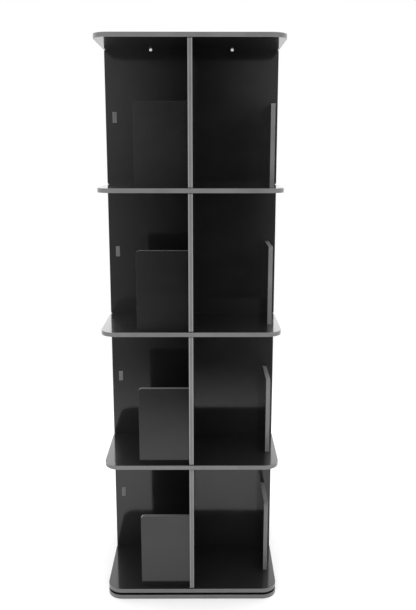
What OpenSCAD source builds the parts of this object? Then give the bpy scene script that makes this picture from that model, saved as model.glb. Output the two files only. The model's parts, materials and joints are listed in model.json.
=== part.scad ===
// Four-tier revolving display tower: square rounded shelves on a ball-bearing
// turntable, divided into four bays a tier by crossed panels, each bay closed
// low down by a stop panel whose tenon passes through the crossed panel.
// Millimetres, +Z up, origin on the floor under the turning axis, front is -Y.

/* [Boards] */
// Side of the square shelves, over their edge bands
board_side = 460; // [430:5:520]
// Thickness of the shelves, panels and base
board_t = 11; // [9:0.5:14]
// Corner radius of the shelves
corner_r = 40; // [20:1:60]
// Thickness of the grey edge band
band_t = 0.4; // [0.3:0.1:2]
// Rounding of the edge band's two outer corners
band_round = 0.2; // [0.1:0.1:2]
// Number of tiers
tiers = 4; // [2:1:4]
// Clear height between two shelves
tier_clear = 348; // [320:1:380]

/* [Crossed panels] */
// How far the panel ends sit back from the shelf edge
panel_setback = 1; // [0:0.5:5]
// Radius of a panel's four outer corners
panel_corner_r = 5; // [3:0.5:10]
// Radius of the half-round notch in the top edge of each half panel
notch_r = 4; // [2:0.5:6]
// Distance of the notch from the turning axis
notch_at = 107; // [95:1:125]

/* [Stop panels] */
// Distance of the stop's middle plane from the turning axis
stop_at = 205.5; // [195:0.5:208]
// How far the free end reaches from the turning axis
stop_reach = 137; // [80:1:180]
// Height of the stop's top edge over the shelf
stop_top = 205; // [200:1:260]
// Radius of the stop's upper free corner
stop_corner_r = 8; // [4:1:20]
// Height of the tenon's lower face over the shelf
tenon_low = 162; // [100:1:165]
// Height of the tenon
tenon_h = 28; // [15:1:32]

/* [Turntable] */
// Height of the bearing between base and bottom shelf
turntable_h = 7; // [7:0.5:10]
// Thickness of each bearing plate
plate_t = 2; // [2:0.1:2.4]
// Radius of the bearing plates
plate_r = 140; // [135:1:160]
// Radius of the ball circle
race_r = 120; // [115:1:130]
// Number of balls
ball_count = 24; // [12:2:36]
// Radius of the centre pivot
pivot_r = 12; // [10:0.5:15]
// Radius of the circle of screws
screw_circle_r = 95; // [60:1:100]
// Screws in each plate
screw_count = 6; // [4:1:8]

/* [Floor pads] */
// Thickness of the anti-slip pads
pad_t = 1; // [1:0.5:4]
// Radius of a pad
pad_r = 14; // [8:1:20]
// Distance of the corner pads from both centre lines
pad_at = 185; // [100:1:190]

/* [Hidden] */
$fn = 64;
eps = 0.5;
half_t = board_t / 2;
pitch = tier_clear + board_t;
base_z = pad_t;
bearing_z = base_z + board_t;
first_shelf_z = bearing_z + turntable_h;
panel_half = board_side / 2 - panel_setback;
core_side = board_side - 2 * band_t;
lap_h = tier_clear / 2;

// Dowels: radius, depth in a panel's edge, depth in an outer shelf, places on each half panel
dowel_r = 3;
dowel_in_panel = 12;
dowel_in_shelf = 8;
dowel_end_gap = 0.5;
dowel_places = [60, 170];
stop_dowel_z = 40;
stop_dowel_in_stop = 14;
stop_dowel_in_panel = 8;

// Bearing: balls run in a shallow groove in both plates
bearing_mid_z = bearing_z + turntable_h / 2;
groove_depth = 0.8;
ball_gap = 0.1;
groove_r = turntable_h / 2 - plate_t + groove_depth;
ball_r = groove_r - ball_gap;
cage_t = 1.6;
cage_half_w = 8;
pivot_bore_r = pivot_r - 3;
pivot_running_gap = 0.08;
pivot_lift = 0.2;
flange_r = pivot_r + 4;
flange_t = 1.2;
relief_r = flange_r + 2;
relief_depth = 3;

// Countersunk screws
screw_r = 1.9;
screw_head_r = 3.8;
screw_head_h = screw_head_r - screw_r;
screw_length = 10;
access_r = 8;
access_angle = 15;

QUADRANTS = ["front_left", "front_right", "back_right", "back_left"];
SHELF_WORDS = ["bottom_shelf", "shelf_2", "shelf_3", "shelf_4"];

function shelf_name(level) = level == tiers ? "top_board" : SHELF_WORDS[level];
function band_name(level) = str(shelf_name(level), "_edge_band");
function dowel_name(level) = str(shelf_name(level), "_dowels");
function tier_name(tier, piece) = str("tier_", tier + 1, "_", piece);
function stop_name(tier, q) = tier_name(tier, str("stop_", QUADRANTS[q]));
function shelf_z(level) = first_shelf_z + level * pitch;
function tier_z(tier) = shelf_z(tier) + board_t;

SINGLE_NODES = [
    "base_board", "base_edge_band", "base_pads",
    "turntable_lower_plate", "turntable_upper_plate", "turntable_pivot",
    "turntable_ball_cage", "turntable_balls",
    "turntable_lower_screws", "turntable_upper_screws",
    "stop_dowels"
];

// ---- helpers ----

// Square outline with round corners
module rounded_square(side, r) {
    square([side, side - 2 * r], center = true);
    square([side - 2 * r, side], center = true);
    for (x = [-1, 1], y = [-1, 1])
        translate([x * (side / 2 - r), y * (side / 2 - r)])
            circle(r);
}

// The core of a shelf or base board, without its band
module board_core() {
    linear_extrude(board_t)
        rounded_square(core_side, corner_r - band_t);
}

// Section of an edge band: its back on the line x = 0, its two outer corners rounded
module band_section() {
    r = min(band_round, band_t);
    square([band_t - r, board_t]);
    translate([0, r])
        square([band_t, board_t - 2 * r]);
    intersection() {
        square([band_t, board_t]);
        for (y = [r, board_t - r])
            translate([band_t - r, y])
                circle(r);
    }
}

// A straight run of band: its back on the plane x = 0, running along +Y, board thickness along +Z
module straight_band(length) {
    translate([0, length, 0])
        rotate([90, 0, 0])
            linear_extrude(length)
                band_section();
}

// A quarter turn of band from +X to +Y, with its back at the given radius
module corner_band(r) {
    rotate_extrude(angle = 90)
        translate([r, 0])
            band_section();
}

// The band around a shelf or base board
module board_band() {
    straight = board_side - 2 * corner_r;
    color([0.52, 0.52, 0.52])
        on_four_sides() {
            translate([core_side / 2, -straight / 2, 0])
                straight_band(straight);
            translate([straight / 2, straight / 2, 0])
                corner_band(corner_r - band_t);
        }
}

// Copies its children to the four sides of the turning axis
module on_four_sides() {
    for (q = [0 : 3])
        rotate(90 * q)
            children();
}

// Copies its children to every dowel place on the four half panels
module at_dowel_places() {
    on_four_sides()
        for (x = dowel_places)
            translate([x, 0, 0])
                children();
}

// Copies its children around a circle
module around(count, r, first = 0) {
    for (i = [0 : count - 1])
        rotate(first + i * 360 / count)
            translate([r, 0, 0])
                children();
}

// ---- base and floor pads ----

module base_board() {
    color([0.06, 0.06, 0.065])
        translate([0, 0, base_z])
            difference() {
                board_core();
                translate([0, 0, board_t - relief_depth])
                    cylinder(r = relief_r, h = relief_depth + eps);
                around(screw_count, screw_circle_r)
                    translate([0, 0, board_t + plate_t - screw_length])
                        cylinder(r = screw_r, h = screw_length);
                rotate(access_angle)
                    translate([screw_circle_r, 0, -eps])
                        cylinder(r = access_r, h = board_t + 2 * eps);
            }
}

module base_edge_band() {
    translate([0, 0, base_z])
        board_band();
}

module base_pads() {
    color([0.12, 0.12, 0.12]) {
        cylinder(r = pad_r, h = pad_t);
        on_four_sides()
            translate([pad_at, pad_at, 0])
                cylinder(r = pad_r, h = pad_t);
    }
}

// ---- turntable ----

// Ring-shaped groove that the balls run in
module race_groove() {
    translate([0, 0, bearing_mid_z])
        rotate_extrude()
            translate([race_r, 0])
                circle(groove_r);
}

// One countersunk screw, head's flat face at z = 0, pointing down
module screw() {
    translate([0, 0, -screw_head_h])
        cylinder(r1 = screw_r, r2 = screw_head_r, h = screw_head_h);
    translate([0, 0, -screw_length])
        cylinder(r = screw_r, h = screw_length - screw_head_h);
}

module lower_screw_places() {
    translate([0, 0, bearing_z + plate_t])
        around(screw_count, screw_circle_r)
            screw();
}

module upper_screw_places() {
    translate([0, 0, bearing_z + turntable_h - plate_t])
        around(screw_count, screw_circle_r, 180 / screw_count)
            rotate([180, 0, 0])
                screw();
}

module turntable_lower_plate() {
    color([0.62, 0.63, 0.65])
        difference() {
            translate([0, 0, bearing_z])
                cylinder(r = plate_r, h = plate_t);
            translate([0, 0, bearing_z - eps])
                cylinder(r = pivot_r, h = plate_t + 2 * eps);
            race_groove();
            lower_screw_places();
            rotate(access_angle)
                translate([screw_circle_r, 0, bearing_z - eps])
                    cylinder(r = access_r, h = plate_t + 2 * eps);
        }
}

module turntable_upper_plate() {
    color([0.62, 0.63, 0.65])
        difference() {
            translate([0, 0, bearing_z + turntable_h - plate_t])
                cylinder(r = plate_r, h = plate_t);
            translate([0, 0, bearing_z])
                cylinder(r = pivot_r + pivot_running_gap, h = turntable_h + eps);
            race_groove();
            upper_screw_places();
        }
}

// Hollow centre pivot, flanged under the lower plate and over the upper one
module turntable_pivot() {
    top_z = bearing_z + turntable_h + pivot_lift;
    color([0.70, 0.70, 0.72])
        difference() {
            union() {
                translate([0, 0, bearing_z - flange_t])
                    cylinder(r = flange_r, h = flange_t);
                translate([0, 0, bearing_z])
                    cylinder(r = pivot_r, h = top_z - bearing_z);
                translate([0, 0, top_z])
                    cylinder(r = flange_r, h = flange_t);
            }
            translate([0, 0, bearing_z - 2 * flange_t])
                cylinder(r = pivot_bore_r, h = turntable_h + 4 * flange_t);
        }
}

module turntable_ball_cage() {
    color([0.72, 0.72, 0.70])
        translate([0, 0, bearing_mid_z - cage_t / 2])
            difference() {
                cylinder(r = race_r + cage_half_w, h = cage_t);
                translate([0, 0, -eps])
                    cylinder(r = race_r - cage_half_w, h = cage_t + 2 * eps);
                around(ball_count, race_r)
                    translate([0, 0, -eps])
                        cylinder(r = ball_r + ball_gap, h = cage_t + 2 * eps);
            }
}

module turntable_balls() {
    color([0.80, 0.80, 0.82])
        translate([0, 0, bearing_mid_z])
            around(ball_count, race_r)
                sphere(ball_r);
}

module turntable_lower_screws() {
    color([0.70, 0.70, 0.72])
        lower_screw_places();
}

module turntable_upper_screws() {
    color([0.70, 0.70, 0.72])
        upper_screw_places();
}

// ---- shelves, their bands and dowels ----

// How far the dowels of one level reach below and above the shelf's underside
function dowel_low(level) = level == 0 ? board_t - dowel_in_shelf : -dowel_in_panel;
function dowel_high(level) = level == tiers ? dowel_in_shelf : board_t + dowel_in_panel;

// Holes for the dowels of one level, in the shelf and in the panels below and above it
module level_dowel_holes(level) {
    translate([0, 0, shelf_z(level) + dowel_low(level)])
        at_dowel_places()
            cylinder(r = dowel_r, h = dowel_high(level) - dowel_low(level));
}

module level_dowels(level) {
    color([0.80, 0.66, 0.45])
        translate([0, 0, shelf_z(level) + dowel_low(level) + dowel_end_gap])
            at_dowel_places()
                cylinder(r = dowel_r, h = dowel_high(level) - dowel_low(level) - 2 * dowel_end_gap);
}

module shelf(level) {
    color([0.06, 0.06, 0.065])
        difference() {
            translate([0, 0, shelf_z(level)])
                board_core();
            level_dowel_holes(level);
            if (level == 0) {
                translate([0, 0, shelf_z(0) - eps])
                    cylinder(r = relief_r, h = relief_depth + eps);
                translate([0, 0, shelf_z(0) - plate_t])
                    around(screw_count, screw_circle_r, 180 / screw_count)
                        cylinder(r = screw_r, h = screw_length);
            }
        }
}

module shelf_band(level) {
    translate([0, 0, shelf_z(level)])
        board_band();
}

// ---- crossed panels ----

// What is cut from both panels of a tier: tenon slots, dowel holes and notches
module panel_cuts(tier) {
    translate([0, 0, tier_z(tier)])
        on_four_sides() {
            translate([-half_t - eps, -stop_at - half_t, tenon_low])
                cube([board_t + 2 * eps, board_t, tenon_h]);
            stop_dowel_hole();
            translate([notch_at, 0, tier_clear])
                rotate([90, 0, 0])
                    cylinder(r = notch_r, h = board_t + 2 * eps, center = true);
        }
    level_dowel_holes(tier);
    level_dowel_holes(tier + 1);
}

// Outline of a panel's core, without its end bands: x along the panel, y up
module panel_outline() {
    corner_x = panel_half - panel_corner_r;
    core_half = panel_half - band_t;
    translate([-corner_x, 0])
        square([2 * corner_x, tier_clear]);
    translate([-core_half, panel_corner_r])
        square([2 * core_half, tier_clear - 2 * panel_corner_r]);
    for (x = [-corner_x, corner_x], y = [panel_corner_r, tier_clear - panel_corner_r])
        translate([x, y])
            circle(panel_corner_r - band_t);
}

// One panel along X, before its cuts
module panel_blank(tier) {
    translate([0, half_t, tier_z(tier)])
        rotate([90, 0, 0])
            linear_extrude(board_t)
                panel_outline();
}

// The left-right panel is slotted from above for its half of the cross joint
module panel_left_right(tier) {
    color([0.07, 0.07, 0.075])
        difference() {
            panel_blank(tier);
            translate([-half_t, -board_t, tier_z(tier) + lap_h])
                cube([board_t, 2 * board_t, lap_h + eps]);
            panel_cuts(tier);
        }
}

// The front-back panel is slotted from below
module panel_front_back(tier) {
    color([0.07, 0.07, 0.075])
        difference() {
            rotate(90)
                panel_blank(tier);
            translate([-board_t, -half_t, tier_z(tier) - eps])
                cube([2 * board_t, board_t, lap_h + eps]);
            panel_cuts(tier);
        }
}

// Band up the panel end at +X, turned over its lower and upper corner
module panel_end_band() {
    translate([panel_half - band_t, -half_t, panel_corner_r])
        linear_extrude(tier_clear - 2 * panel_corner_r)
            band_section();
    for (corner = [[panel_corner_r, 90], [tier_clear - panel_corner_r, 0]])
        translate([panel_half - panel_corner_r, half_t, corner[0]])
            rotate([0, corner[1], 0])
                rotate([90, 0, 0])
                    corner_band(panel_corner_r - band_t);
}

module panel_end_bands(tier) {
    color([0.52, 0.52, 0.52])
        translate([0, 0, tier_z(tier)])
            on_four_sides()
                panel_end_band();
}

// ---- stop panels ----

// Outline of the front-left stop's core over its tier's shelf: x across, y up
module stop_outline() {
    width = stop_reach - band_t - half_t;
    height = stop_top - band_t;
    r = stop_corner_r - band_t;
    translate([band_t - stop_reach, 0]) {
        square([width, height - r]);
        translate([r, 0])
            square([width - r, height]);
        translate([r, height - r])
            circle(r);
    }
}

// Stands the outline up on the front-left stop's plane
module stand_stop() {
    translate([0, half_t - stop_at, 0])
        rotate([90, 0, 0])
            linear_extrude(board_t)
                children();
}

// Hole for the hidden dowel between a stop and its panel
module stop_dowel_hole() {
    translate([-half_t - stop_dowel_in_stop, -stop_at, stop_dowel_z])
        rotate([0, 90, 0])
            cylinder(r = dowel_r, h = stop_dowel_in_stop + stop_dowel_in_panel);
}

module stop(tier, q) {
    color([0.07, 0.07, 0.075])
        translate([0, 0, tier_z(tier)])
            rotate(90 * q)
                difference() {
                    stand_stop() {
                        stop_outline();
                        translate([-half_t - eps, tenon_low])
                            square([board_t - band_t + eps, tenon_h]);
                    }
                    stop_dowel_hole();
                }
}

// Band round the front-left stop: up its free end, over its upper corner and along its top
module stop_band() {
    side = stop_top - stop_corner_r;
    rail = stop_reach - half_t - stop_corner_r;
    translate([0, half_t - stop_at, 0])
        rotate([90, 0, 0]) {
            translate([band_t - stop_reach, 0, 0])
                mirror([1, 0, 0])
                    straight_band(side);
            translate([stop_corner_r - stop_reach, side, 0])
                rotate(90)
                    corner_band(stop_corner_r - band_t);
            translate([-half_t, stop_top - band_t, 0])
                rotate(90)
                    straight_band(rail);
        }
}

// Bands of a tier's four stops, and the caps on their tenon ends
module stop_bands(tier) {
    color([0.52, 0.52, 0.52])
        translate([0, 0, tier_z(tier)])
            on_four_sides() {
                stop_band();
                translate([half_t - band_t, -stop_at - half_t, tenon_low])
                    cube([band_t, board_t, tenon_h]);
            }
}

module stop_dowels() {
    reach = stop_dowel_in_stop + stop_dowel_in_panel - 2 * dowel_end_gap;
    color([0.80, 0.66, 0.45])
        for (tier = [0 : tiers - 1])
            translate([0, 0, tier_z(tier)])
                on_four_sides()
                    translate([-half_t - stop_dowel_in_stop + dowel_end_gap, -stop_at, stop_dowel_z])
                        rotate([0, 90, 0])
                            cylinder(r = dowel_r, h = reach);
}

// ---- what is drawn ----

base_board();
base_edge_band();
base_pads();
turntable_lower_plate();
turntable_upper_plate();
turntable_pivot();
turntable_ball_cage();
turntable_balls();
turntable_lower_screws();
turntable_upper_screws();
stop_dowels();

for (level = [0 : tiers]) {
    shelf(level);
    shelf_band(level);
    level_dowels(level);
}

for (tier = [0 : tiers - 1]) {
    panel_left_right(tier);
    panel_front_back(tier);
    panel_end_bands(tier);
    stop_bands(tier);
    for (q = [0 : 3])
        stop(tier, q);
}
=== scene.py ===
import json
import math

import bpy
from mathutils import Matrix, Vector

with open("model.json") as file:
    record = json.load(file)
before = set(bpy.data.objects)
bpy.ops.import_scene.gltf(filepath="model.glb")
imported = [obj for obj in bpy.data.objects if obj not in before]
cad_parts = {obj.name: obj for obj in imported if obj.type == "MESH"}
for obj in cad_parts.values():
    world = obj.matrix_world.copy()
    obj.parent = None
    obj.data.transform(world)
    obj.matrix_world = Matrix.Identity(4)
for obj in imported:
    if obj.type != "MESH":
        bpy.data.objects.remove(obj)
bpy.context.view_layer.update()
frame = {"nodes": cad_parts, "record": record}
nodes = frame["nodes"]

# ---- camera: stands in front of the tower and looks slightly down at it ----
CAMERA_AT = Vector((0.0342, -2.0162, 1.196))
CAMERA_YAW = math.radians(0.277)
CAMERA_PITCH = math.radians(-11.906)
CAMERA_ROLL = math.radians(0.043)
CAMERA_LENS_MM = 43.14
SENSOR_MM = 36.0
CLIP_START = 0.05
CLIP_END = 200.0

# ---- floor: a pale round sheet, solid under the tower and clear at its rim ----
FLOOR_COLOUR = (0.85, 0.85, 0.85, 1.0)
FLOOR_GLOW = 0.25
FLOOR_SOLID_RADIUS = 0.75
FLOOR_RADIUS = 2.15
FLOOR_SIDES = 96

# ---- studio brightness ----
OPENING = 0.05
LEFT_WALL = 0.9
RIGHT_WALL = 0.85
LOW_WALL_SHARE = 0.65
BACKDROP_LOW = 1.05
BACKDROP_MIDDLE = 2.0
BACKDROP_HIGH = 1.3
CEILING = 1.5

# ---- studio layout: each edge is a soft step between two values of the measure in its comment ----
# sideways run for each metre forward or back
LEFT_WALL_EDGE = (0.02, 0.175)
RIGHT_WALL_LOW_EDGE = (0.045, 0.15)
RIGHT_WALL_HIGH_EDGE = (0.0, 0.14)
# forward or back run for each metre sideways
SIDE_OPENING_EDGE = (0.02, 0.175)
# height of the direction's tip on a unit sphere
RIGHT_WALL_STEP = (0.045, 0.075)
LOW_WALL_EDGE = (-0.07, 0.07)
SIDE_OPENING_TOP = (0.2, 0.35)
BACKDROP_MIDDLE_EDGE = (0.08, 0.2)
BACKDROP_HIGH_EDGE = (0.38, 0.6)
CEILING_EDGE = (0.45, 0.8)
# forward reach of the direction's tip on a unit sphere
FRONT_TO_BACK = (-0.25, 0.15)
# least divisor in a run, which keeps it finite
SHORTEST_RUN = 0.05


# ---------------------------------------------------------------- node helpers

class Graph:
    """Short calls for adding nodes to one node tree and joining them."""

    def __init__(self, tree):
        self.tree = tree

    def add(self, kind, **settings):
        node = self.tree.nodes.new(kind)
        for key, value in settings.items():
            setattr(node, key, value)
        return node

    def link(self, out, socket):
        self.tree.links.new(out, socket)

    def feed(self, socket, value):
        """Sets a socket to a number or colour, or links an output to it."""
        if isinstance(value, (int, float, tuple)):
            socket.default_value = value
        else:
            self.link(value, socket)

    def axes(self, vector):
        """The x, y and z of a vector."""
        node = self.add("ShaderNodeSeparateXYZ")
        self.link(vector, node.inputs[0])
        return node.outputs[:]

    def math(self, operation, a, b=0.0):
        node = self.add("ShaderNodeMath", operation=operation)
        self.feed(node.inputs[0], a)
        self.feed(node.inputs[1], b)
        return node.outputs["Value"]

    def remap(self, value, low, high, to_low, to_high, smooth=False):
        """Carries low..high over to to_low..to_high and holds the ends."""
        node = self.add("ShaderNodeMapRange")
        node.interpolation_type = "SMOOTHSTEP" if smooth else "LINEAR"
        node.inputs["From Min"].default_value = low
        node.inputs["From Max"].default_value = high
        node.inputs["To Min"].default_value = to_low
        node.inputs["To Max"].default_value = to_high
        self.link(value, node.inputs["Value"])
        return node.outputs["Result"]

    def step(self, value, low, high):
        """0 up to low, 1 from high on, smooth between."""
        return self.remap(value, low, high, 0.0, 1.0, smooth=True)

    def blend(self, factor, a, b):
        """The number a where factor is 0, and b where it is 1."""
        rest = self.math("SUBTRACT", 1.0, factor)
        return self.math("ADD", self.math("MULTIPLY", rest, a), self.math("MULTIPLY", factor, b))


class Shader(Graph):
    """A new material with a principled shader. Noise and cell scales are per metre."""

    def __init__(self, name):
        self.material = bpy.data.materials.new(name)
        self.material.use_nodes = True
        super().__init__(self.material.node_tree)
        self.bsdf = self.tree.nodes["Principled BSDF"]
        coordinates = self.add("ShaderNodeTexCoord")
        self.place = coordinates.outputs["Object"]
        self.facing = coordinates.outputs["Normal"]

    def set(self, **values):
        """Sets sockets of the principled shader that are the same all over."""
        for key, value in values.items():
            self.bsdf.inputs[key.replace("_", " ")].default_value = value

    def scaled(self, stretch):
        """Object coordinates stretched by a factor along each axis."""
        mapping = self.add("ShaderNodeMapping")
        mapping.inputs["Scale"].default_value = stretch
        self.link(self.place, mapping.inputs["Vector"])
        return mapping.outputs["Vector"]

    def noise(self, scale, detail=2.0, roughness=0.5, vector=None):
        node = self.add("ShaderNodeTexNoise")
        node.inputs["Scale"].default_value = scale
        node.inputs["Detail"].default_value = detail
        node.inputs["Roughness"].default_value = roughness
        self.link(vector or self.place, node.inputs["Vector"])
        return node.outputs["Fac"]

    def cells(self, scale):
        """Distance to the nearest of a scatter of points."""
        node = self.add("ShaderNodeTexVoronoi")
        node.inputs["Scale"].default_value = scale
        self.link(self.place, node.inputs["Vector"])
        return node.outputs["Distance"]

    def spread(self, noise, to_low, to_high, smooth=False):
        """Carries the middle part of a noise, where most of it lies, over to to_low..to_high."""
        return self.remap(noise, 0.3, 0.7, to_low, to_high, smooth)

    def mix(self, factor, a, b):
        """The colour a where factor is 0, and b where it is 1."""
        node = self.add("ShaderNodeMix", data_type="RGBA")
        self.link(factor, node.inputs["Factor"])
        colour_a, colour_b = node.inputs[6], node.inputs[7]
        self.feed(colour_a, a)
        self.feed(colour_b, b)
        return node.outputs[2]

    def colour(self, out):
        self.link(out, self.bsdf.inputs["Base Color"])

    def roughness(self, out):
        self.link(out, self.bsdf.inputs["Roughness"])

    def bump(self, *layers):
        """Chains (height, strength, distance in metres) layers into the shader's normal."""
        normal = None
        for height, strength, distance in layers:
            node = self.add("ShaderNodeBump")
            node.inputs["Strength"].default_value = strength
            node.inputs["Distance"].default_value = distance
            self.link(height, node.inputs["Height"])
            if normal is not None:
                self.link(normal, node.inputs["Normal"])
            normal = node.outputs["Normal"]
        self.link(normal, self.bsdf.inputs["Normal"])
        return normal

    def edges(self, radius):
        """1 on sharp edges and 0 on flats, from how far a rounded normal leans off the true one."""
        bevel = self.add("ShaderNodeBevel", samples=6)
        bevel.inputs["Radius"].default_value = radius
        geometry = self.add("ShaderNodeNewGeometry")
        dot = self.add("ShaderNodeVectorMath", operation="DOT_PRODUCT")
        self.link(bevel.outputs["Normal"], dot.inputs[0])
        self.link(geometry.outputs["Normal"], dot.inputs[1])
        return self.step(dot.outputs["Value"], 1.0, 0.85)


def grey(value):
    return (value, value, value, 1.0)


# ---------------------------------------------------------------- black laminate

LAMINATE_TONES = (grey(0.009), grey(0.012))
LAMINATE_DUST = grey(0.05)
LAMINATE_WORN = grey(0.03)


def black_board():
    """High-gloss black laminate: a hazy body under a mirror skin with ripple, dust and smears."""
    s = Shader("black_gloss_laminate")
    s.set(IOR=1.19, Roughness=0.4, Coat_Weight=1.0, Coat_IOR=1.52)
    smear = s.noise(5.0, detail=4.0, roughness=0.55, vector=s.scaled((1.0, 1.0, 2.6)))
    fine_smear = s.noise(42.0, detail=5.0, roughness=0.65)
    specks = s.remap(s.cells(620.0), 0.05, 0.11, 1.0, 0.0, smooth=True)
    patches = s.step(s.noise(9.0, detail=3.0), 0.45, 0.7)
    dust = s.math("MULTIPLY", specks, patches)
    edge_mask = s.edges(0.0009)

    tone = s.mix(s.step(smear, 0.35, 0.7), *LAMINATE_TONES)
    tone = s.mix(s.math("MULTIPLY", dust, 0.35), tone, LAMINATE_DUST)
    s.colour(s.mix(s.math("MULTIPLY", edge_mask, 0.5), tone, LAMINATE_WORN))

    rough = s.remap(smear, 0.3, 0.75, 0.07, 0.11)
    rough = s.math("ADD", rough, s.remap(fine_smear, 0.52, 0.8, 0.0, 0.05))
    rough = s.math("ADD", rough, s.math("MULTIPLY", dust, 0.12))
    rough = s.math("ADD", rough, s.math("MULTIPLY", edge_mask, 0.12))
    s.link(rough, s.bsdf.inputs["Coat Roughness"])

    ripple = s.noise(24.0, detail=1.0)
    orange_peel = s.noise(210.0, detail=1.5)
    normal = s.bump((ripple, 0.05, 0.0012), (orange_peel, 0.035, 0.0003))
    s.link(normal, s.bsdf.inputs["Coat Normal"])
    return s.material


# ---------------------------------------------------------------- grey edge bands

BAND_TONES = (grey(0.185), grey(0.24))
BAND_GRAIN = grey(0.27)
# paler edge colour of the bands: partly wear, partly a painted arris highlight
BAND_WORN_AND_HIGHLIT = grey(0.36)
# colour of the painted highlight along both long sides of the panel-end bands
BAND_SIDE_HIGHLIGHT = grey(0.42)
# colour of the painted shade that darkens the bands towards the floor, also used for random grime
# patches
BAND_SHADE_AND_GRIME = grey(0.05)
BAND_FLANK = grey(0.012)
# strength of that painted shade at the floor, and the height in metres where it fades out
LOW_SHADE_SHARE = 0.5
LOW_SHADE_TOP = 0.7
# distances off a panel-end band's middle where its painted side highlight starts and reaches full
# strength
SIDE_HIGHLIGHT_FROM = 0.0022
SIDE_HIGHLIGHT_TO = 0.0048


def grey_edge(name="grey_edge_band", tone_pass=None):
    """Satin grey plastic edge band: paler at the edges from wear and a painted arris highlight, darker
    towards the floor from painted shade, with random grime patches.
    """
    s = Shader(name)
    s.set(IOR=1.48, Specular_IOR_Level=0.5)
    grain = s.noise(900.0, detail=3.0, roughness=0.6)
    cloud = s.noise(14.0, detail=3.0)
    edge_mask = s.edges(0.0016)

    tone = s.mix(s.spread(cloud, 0.0, 1.0, smooth=True), *BAND_TONES)
    tone = s.mix(s.remap(grain, 0.35, 0.7, 0.0, 0.35), tone, BAND_GRAIN)
    # the band's edges turn paler: partly wear, partly a painted highlight along the arrises
    tone = s.mix(s.math("MULTIPLY", edge_mask, 0.6), tone, BAND_WORN_AND_HIGHLIT)
    # on the panel-end bands this adds a painted side highlight; on the stops' bands it blackens the
    # flanks
    if tone_pass:
        tone = tone_pass(s, tone)
    height = s.axes(s.place)[2]
    # painted shade: the bands darken towards the floor; random grime patches from the cloud noise are
    # added on top
    low_shade_and_grime = s.remap(height, 0.0, LOW_SHADE_TOP, LOW_SHADE_SHARE, 0.0, smooth=True)
    low_shade_and_grime = s.math("ADD", low_shade_and_grime, s.remap(cloud, 0.5, 0.8, 0.0, 0.08))
    s.colour(s.mix(low_shade_and_grime, tone, BAND_SHADE_AND_GRIME))

    rough = s.math("ADD", s.spread(grain, 0.26, 0.4), s.spread(cloud, -0.03, 0.05))
    s.roughness(s.math("SUBTRACT", rough, s.math("MULTIPLY", edge_mask, 0.05)))
    s.bump((cloud, 0.05, 0.001), (grain, 0.12, 0.0001))
    return s.material


def painted_side_highlights(s, tone):
    """A painted highlight along both long sides of the bands on the panel ends, which lie on x = 0 or y
    = 0.
    """
    x, y, _ = s.axes(s.place)
    off_middle = s.math("MINIMUM", s.math("ABSOLUTE", x), s.math("ABSOLUTE", y))
    # painted highlight: paler away from the band's middle, towards both long sides
    side_highlight = s.remap(off_middle, SIDE_HIGHLIGHT_FROM, SIDE_HIGHLIGHT_TO, 0.0, 0.85, smooth=True)
    return s.mix(side_highlight, tone, BAND_SIDE_HIGHLIGHT)


def black_flanks(s, tone):
    """Black on the sides of the stops' bands that lie flush with a stop's faces."""
    x, y, _ = s.axes(s.place)
    facing_x, facing_y, _ = s.axes(s.facing)
    faces_y = s.math("GREATER_THAN", s.math("ABSOLUTE", y), s.math("ABSOLUTE", x))
    faces_x = s.math("SUBTRACT", 1.0, faces_y)
    along_y = s.math("MULTIPLY", faces_y, s.math("ABSOLUTE", facing_y))
    along_x = s.math("MULTIPLY", faces_x, s.math("ABSOLUTE", facing_x))
    return s.mix(s.spread(s.math("ADD", along_y, along_x), 0.0, 1.0), tone, BAND_FLANK)


def panel_end_bands():
    # the panel-end bands get a painted highlight along both long sides
    return grey_edge("grey_edge_panel_ends", painted_side_highlights)


def stop_bands():
    return grey_edge("grey_edge_stops", black_flanks)


# ---------------------------------------------------------------- turntable, dowels and pads

def zinc_plate():
    """Zinc-plated pressed steel: crystal patches with fine rolling lines."""
    s = Shader("zinc_plated_sheet")
    s.set(Metallic=1.0)
    crystals = s.cells(120.0)
    lines = s.noise(700.0, vector=s.scaled((1.0, 0.04, 1.0)))
    tone = s.mix(s.remap(crystals, 0.0, 0.7, 0.0, 1.0), grey(0.5), grey(0.62))
    s.colour(s.mix(s.spread(lines, 0.0, 0.4), tone, grey(0.45)))
    s.roughness(s.spread(lines, 0.28, 0.48))
    s.bump((lines, 0.1, 0.0002), (crystals, 0.05, 0.0003))
    return s.material


def fastener_steel():
    """Bright zinc fasteners with turning marks and paler edges."""
    s = Shader("fastener_steel")
    s.set(Metallic=1.0)
    marks = s.noise(1500.0, vector=s.scaled((0.05, 0.05, 1.0)))
    s.colour(s.mix(s.edges(0.0004), grey(0.55), grey(0.75)))
    s.roughness(s.spread(marks, 0.2, 0.36))
    s.bump((marks, 0.08, 0.0001))
    return s.material


def ball_steel():
    """Polished bearing balls under a thin film of grease."""
    s = Shader("polished_ball_steel")
    s.set(Metallic=1.0)
    film = s.noise(260.0, detail=3.0)
    s.colour(s.mix(s.remap(film, 0.4, 0.7, 0.0, 1.0), grey(0.72), grey(0.6)))
    s.roughness(s.remap(film, 0.35, 0.75, 0.06, 0.22))
    s.bump((film, 0.03, 0.0001))
    return s.material


def cage_plastic():
    """Natural nylon ball cage."""
    s = Shader("natural_nylon")
    s.set(Subsurface_Weight=0.1, IOR=1.5)
    mottle = s.noise(180.0, detail=3.0)
    s.colour(s.mix(mottle, (0.58, 0.56, 0.5, 1.0), (0.66, 0.64, 0.58, 1.0)))
    s.roughness(s.spread(mottle, 0.32, 0.5))
    s.bump((mottle, 0.1, 0.0002))
    return s.material


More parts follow.
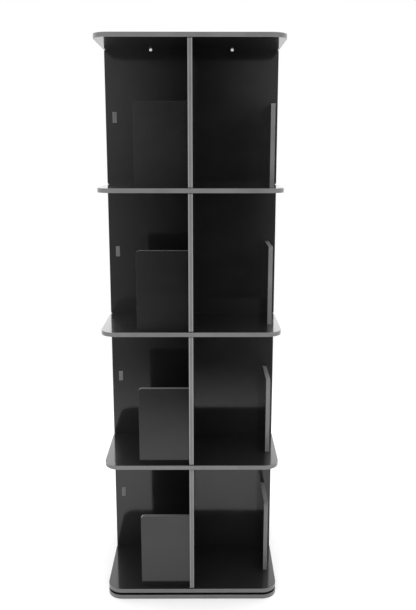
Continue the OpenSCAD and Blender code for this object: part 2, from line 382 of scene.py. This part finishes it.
def dowel_wood():
    """Beech dowels: fine grain along the stick, with darker flecks."""
    s = Shader("beech_dowel")
    grain = s.noise(380.0, detail=4.0, vector=s.scaled((1.0, 1.0, 0.08)))
    flecks = s.noise(900.0, vector=s.scaled((1.0, 1.0, 0.15)))
    tone = s.mix(grain, (0.5, 0.34, 0.19, 1.0), (0.66, 0.5, 0.32, 1.0))
    s.colour(s.mix(s.remap(flecks, 0.62, 0.7, 0.0, 0.6), tone, (0.3, 0.18, 0.09, 1.0)))
    s.roughness(s.spread(grain, 0.55, 0.75))
    s.bump((grain, 0.2, 0.0002))
    return s.material


def pad_rubber():
    """Matt black rubber pads."""
    s = Shader("matt_rubber")
    s.set(IOR=1.5)
    grain = s.noise(1400.0, detail=3.0)
    s.colour(s.mix(grain, grey(0.018), grey(0.035)))
    s.roughness(s.spread(grain, 0.7, 0.9))
    s.bump((grain, 0.3, 0.0001))
    return s.material


# ---------------------------------------------------------------- dressing the CAD nodes

LOOKS_BY_SLOT = {
    "black_board": black_board,
    "grey_edge": grey_edge,
    "bearing_plate": zinc_plate,
    "fastener_steel": fastener_steel,
    "ball_steel": ball_steel,
    "cage_plastic": cage_plastic,
    "dowel_wood": dowel_wood,
    "pad_rubber": pad_rubber,
}
# looks of their own for the bands inside the tiers, by how the node's name ends
LOOKS_BY_ENDING = {
    "_panel_end_bands": panel_end_bands,
    "_stop_bands": stop_bands,
}


def look_of(entry):
    """The look of a record entry: by its name's ending where there is one, else by its slot."""
    for ending, look in LOOKS_BY_ENDING.items():
        if entry["node"].endswith(ending):
            return look
    return LOOKS_BY_SLOT[entry["material_slot"]]


def dress_nodes():
    """Gives every CAD node its look, and makes each look once."""
    made = {look: look() for look in [*LOOKS_BY_SLOT.values(), *LOOKS_BY_ENDING.values()]}
    for entry in frame["record"]["subparts"]:
        node = nodes[entry["node"]]
        material = made[look_of(entry)]
        if not node.material_slots:
            node.data.materials.append(material)
        for slot in node.material_slots:
            slot.material = material


# ---------------------------------------------------------------- stage, light, camera

def add_floor():
    """Pale round floor that fades out into the white studio."""
    bpy.ops.mesh.primitive_circle_add(vertices=FLOOR_SIDES, radius=FLOOR_RADIUS, fill_type="NGON")
    floor = bpy.context.object
    floor.name = "stage_floor"
    s = Shader("pale_floor")
    s.set(Base_Color=FLOOR_COLOUR, Roughness=0.7, Specular_IOR_Level=0.2)
    s.set(Emission_Color=FLOOR_COLOUR, Emission_Strength=FLOOR_GLOW)
    distance = s.add("ShaderNodeVectorMath", operation="LENGTH")
    s.link(s.place, distance.inputs[0])
    clear = s.step(distance.outputs["Value"], FLOOR_SOLID_RADIUS, FLOOR_RADIUS)
    fade = s.add("ShaderNodeMixShader")
    s.link(clear, fade.inputs["Fac"])
    s.link(s.bsdf.outputs["BSDF"], fade.inputs[1])
    s.link(s.add("ShaderNodeBsdfTransparent").outputs["BSDF"], fade.inputs[2])
    s.link(fade.outputs["Shader"], s.tree.nodes["Material Output"].inputs["Surface"])
    floor.data.materials.append(s.material)


def add_world():
    """White studio: a bright backdrop, walls and ceiling, with dim openings on three sides.

    Camera rays see plain white. Every other ray sees the studio by its direction: -Y is the front,
    where one opening lies between the left and right walls, and the other two openings lie at -X and +X.
    """
    world = bpy.data.worlds.new("studio")
    bpy.context.scene.world = world
    world.use_nodes = True
    world.node_tree.nodes.clear()
    g = Graph(world.node_tree)

    def run(along, beside):
        """How far a direction goes along one axis for each metre to either side on the other."""
        return g.math("DIVIDE", along, g.math("MAXIMUM", g.math("ABSOLUTE", beside), SHORTEST_RUN))

    sideways, forward, up = g.axes(g.add("ShaderNodeTexCoord").outputs["Generated"])

    aside = run(sideways, forward)
    left = g.blend(g.step(g.math("MULTIPLY", aside, -1.0), *LEFT_WALL_EDGE), OPENING, LEFT_WALL)
    low_edge, high_edge = g.step(aside, *RIGHT_WALL_LOW_EDGE), g.step(aside, *RIGHT_WALL_HIGH_EDGE)
    right = g.blend(g.blend(g.step(up, *RIGHT_WALL_STEP), low_edge, high_edge), OPENING, RIGHT_WALL)
    front = g.math("MAXIMUM", left, right)
    front = g.math("MULTIPLY", front, g.blend(g.step(up, *LOW_WALL_EDGE), LOW_WALL_SHARE, 1.0))

    back = g.blend(g.step(up, *BACKDROP_MIDDLE_EDGE), BACKDROP_LOW, BACKDROP_MIDDLE)
    back = g.blend(g.step(up, *BACKDROP_HIGH_EDGE), back, BACKDROP_HIGH)
    around = g.blend(g.step(forward, *FRONT_TO_BACK), front, back)

    beside_opening = g.step(g.math("ABSOLUTE", run(forward, sideways)), *SIDE_OPENING_EDGE)
    above_opening = g.step(up, *SIDE_OPENING_TOP)
    around = g.blend(g.math("MAXIMUM", beside_opening, above_opening), OPENING, around)
    around = g.blend(g.step(up, *CEILING_EDGE), around, CEILING)

    background = g.add("ShaderNodeBackground")
    background.inputs["Color"].default_value = grey(1.0)
    is_camera_ray = g.add("ShaderNodeLightPath").outputs["Is Camera Ray"]
    g.link(g.blend(is_camera_ray, around, 1.0), background.inputs["Strength"])
    output = g.add("ShaderNodeOutputWorld")
    g.link(background.outputs["Background"], output.inputs["Surface"])


def add_camera():
    data = bpy.data.cameras.new("camera")
    data.lens = CAMERA_LENS_MM
    data.sensor_width = SENSOR_MM
    data.clip_start = CLIP_START
    data.clip_end = CLIP_END
    camera = bpy.data.objects.new("camera", data)
    turn = Matrix.Rotation(-CAMERA_YAW, 4, "Z") @ Matrix.Rotation(math.pi / 2 + CAMERA_PITCH, 4, "X")
    turn = turn @ Matrix.Rotation(CAMERA_ROLL, 4, "Z")
    camera.matrix_world = Matrix.Translation(CAMERA_AT) @ turn
    bpy.context.scene.collection.objects.link(camera)
    bpy.context.scene.camera = camera


dress_nodes()
add_floor()
add_world()
add_camera()
bpy.context.scene.view_settings.view_transform = "Standard"
